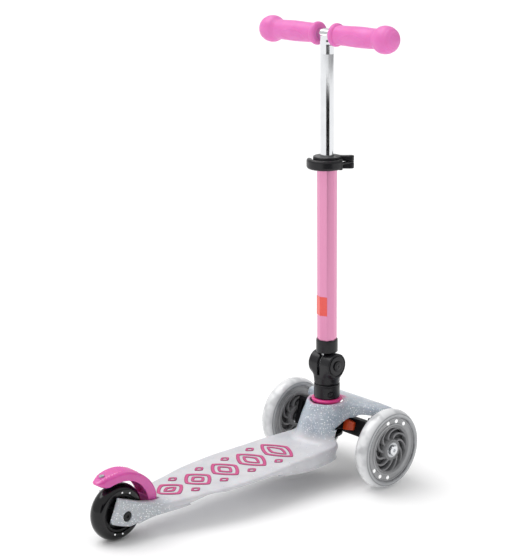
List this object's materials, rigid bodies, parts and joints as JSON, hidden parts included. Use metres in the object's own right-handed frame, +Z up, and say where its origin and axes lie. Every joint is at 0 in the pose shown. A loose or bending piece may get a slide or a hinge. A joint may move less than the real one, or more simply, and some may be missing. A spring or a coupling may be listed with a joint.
{
  "type": "kick scooter",
  "caption": "Child's leaning-steer kick scooter with paired front wheels, one rear wheel with a foot brake, a folding telescopic column and a grip bar.",
  "frame": {"origin": "on the ground, under the middle of the bounding box", "axes": "+X forward towards the front wheels, +Y to the rider's left, +Z up"},
  "size_m": [0.528, 0.264, 0.6821],
  "materials": {
    "moulded_shell": "milky glittery moulded plastic, satin",
    "tread_pink": "raised matt anti-slip rubber",
    "collar_pink": "translucent moulded plastic",
    "black_plastic": "fine-grained moulded plastic",
    "dark_liner": "plain moulded plastic",
    "elastomer_orange": "cast polyurethane",
    "steel": "zinc-plated steel",
    "tube_steel": "plain steel tube",
    "chrome": "polished chrome",
    "anodised_pink": "anodised aluminium, satin pink",
    "label_red": "plain printed foil",
    "grip_pink": "soft moulded rubber",
    "clear_tyre": "clear cast polyurethane",
    "light_ring_grey": "frosted rim with small lamps",
    "core_grey": "moulded nylon",
    "black_tyre": "gloss cast polyurethane",
    "brake_pink": "translucent moulded plastic",
    "bush_nylon": "nylon"
  },
  "bodies": {
    "deck": {"deck_shell": "moulded_shell", "tread_pattern": "tread_pink", "collar_ring": "collar_pink", "front_housing": "dark_liner", "wing_liners": "dark_liner", "steering_beam": "black_plastic", "beam_screws": "steel", "kingpins": "steel", "steering_elastomers": "elastomer_orange", "foot_tube": "tube_steel", "base_sleeve": "black_plastic", "hinge_yoke": "black_plastic", "hinge_pin": "steel", "hinge_cap": "black_plastic", "rear_axle_bolt": "black_plastic", "brake_pin": "steel"},
    "release_button": {"release_button": "black_plastic"},
    "hinge_button": {"hinge_button": "black_plastic"},
    "column": {"hinge_tongue": "steel", "hinge_sleeve": "black_plastic", "outer_tube": "anodised_pink", "tube_label": "label_red", "tube_bush": "bush_nylon", "clamp_collar": "black_plastic", "clamp_pin": "steel"},
    "clamp_lever": {"clamp_lever": "black_plastic"},
    "mast": {"inner_tube": "chrome", "guide_bush": "bush_nylon", "crossbar": "chrome", "grip_left": "grip_pink", "grip_right": "grip_pink"},
    "knuckle_left": {"knuckle_left": "black_plastic", "axle_bolt_left": "steel", "spacer_left": "tube_steel"},
    "wheel_left": {"tyre_left": "clear_tyre", "light_ring_left": "light_ring_grey", "core_left": "core_grey", "bearings_left": "steel"},
    "knuckle_right": {"knuckle_right": "black_plastic", "axle_bolt_right": "steel", "spacer_right": "tube_steel"},
    "wheel_right": {"tyre_right": "clear_tyre", "light_ring_right": "light_ring_grey", "core_right": "core_grey", "bearings_right": "steel"},
    "tie_rod": {"tie_rod": "black_plastic", "tie_rod_pins": "steel"},
    "wheel_rear": {"rear_tyre": "black_tyre", "rear_core": "black_plastic", "rear_bearings": "steel", "rear_spacer": "tube_steel"},
    "brake": {"brake_fender": "brake_pink", "brake_plate": "steel", "brake_rivet": "steel"}
  },
  "joints": [
    {"name": "column_fold", "type": "hinge", "parent": "deck", "child": "column", "pos_m": [0.17403, 0, 0.17323], "axis": [0, -1, 0], "range_deg": [0, 90]},
    {"name": "bar_height", "type": "slide", "parent": "column", "child": "mast", "axis": [-0.048, 0, 0.9988], "range_m": [-0.15, 0]},
    {"name": "clamp_open", "type": "hinge", "parent": "column", "child": "clamp_lever", "pos_m": [0.18341, -0.02404, 0.47903], "axis": [-0.048, 0, 0.9988], "range_deg": [0, 110]},
    {"name": "hinge_press", "type": "slide", "parent": "deck", "child": "hinge_button", "axis": [0, 1, 0], "range_m": [0, 0.002], "stiffness_N_per_m": 800},
    {"name": "release_press", "type": "slide", "parent": "deck", "child": "release_button", "axis": [0.4689, 0.8829, 0.0225], "range_m": [0, 0.003], "stiffness_N_per_m": 800},
    {"name": "steer_left", "type": "hinge", "parent": "deck", "child": "knuckle_left", "pos_m": [0.20774, 0.066, 0.07761], "axis": [0.2079, 0, 0.9781], "range_deg": [-12, 12], "stiffness_Nm_per_rad": 6},
    {"name": "steer_right", "type": "hinge", "parent": "deck", "child": "knuckle_right", "pos_m": [0.20774, -0.066, 0.07761], "axis": [0.2079, 0, 0.9781], "range_deg": [-12, 12]},
    {"name": "tie_rod_pivot", "type": "hinge", "parent": "knuckle_left", "child": "tie_rod", "pos_m": [0.22943, 0.066, 0.05459], "axis": [0.2079, 0, 0.9781], "range_deg": [-12, 12]},
    {"name": "wheel_left_spin", "type": "hinge", "parent": "knuckle_left", "child": "wheel_left", "pos_m": [0.204, 0.1, 0.06], "axis": [0, 1, 0], "continuous": true},
    {"name": "wheel_right_spin", "type": "hinge", "parent": "knuckle_right", "child": "wheel_right", "pos_m": [0.204, -0.1, 0.06], "axis": [0, 1, 0], "continuous": true},
    {"name": "wheel_rear_spin", "type": "hinge", "parent": "deck", "child": "wheel_rear", "pos_m": [-0.224, 0, 0.04], "axis": [0, 1, 0], "continuous": true},
    {"name": "brake_press", "type": "hinge", "parent": "deck", "child": "brake", "pos_m": [-0.168, 0, 0.041], "axis": [0, -1, 0], "range_deg": [0, 4.5], "stiffness_Nm_per_rad": 12}
  ],
  "couplings": [
    {"joint": "steer_right", "follows": "steer_left", "ratio": 1},
    {"joint": "tie_rod_pivot", "follows": "steer_left", "ratio": -1}
  ]
}
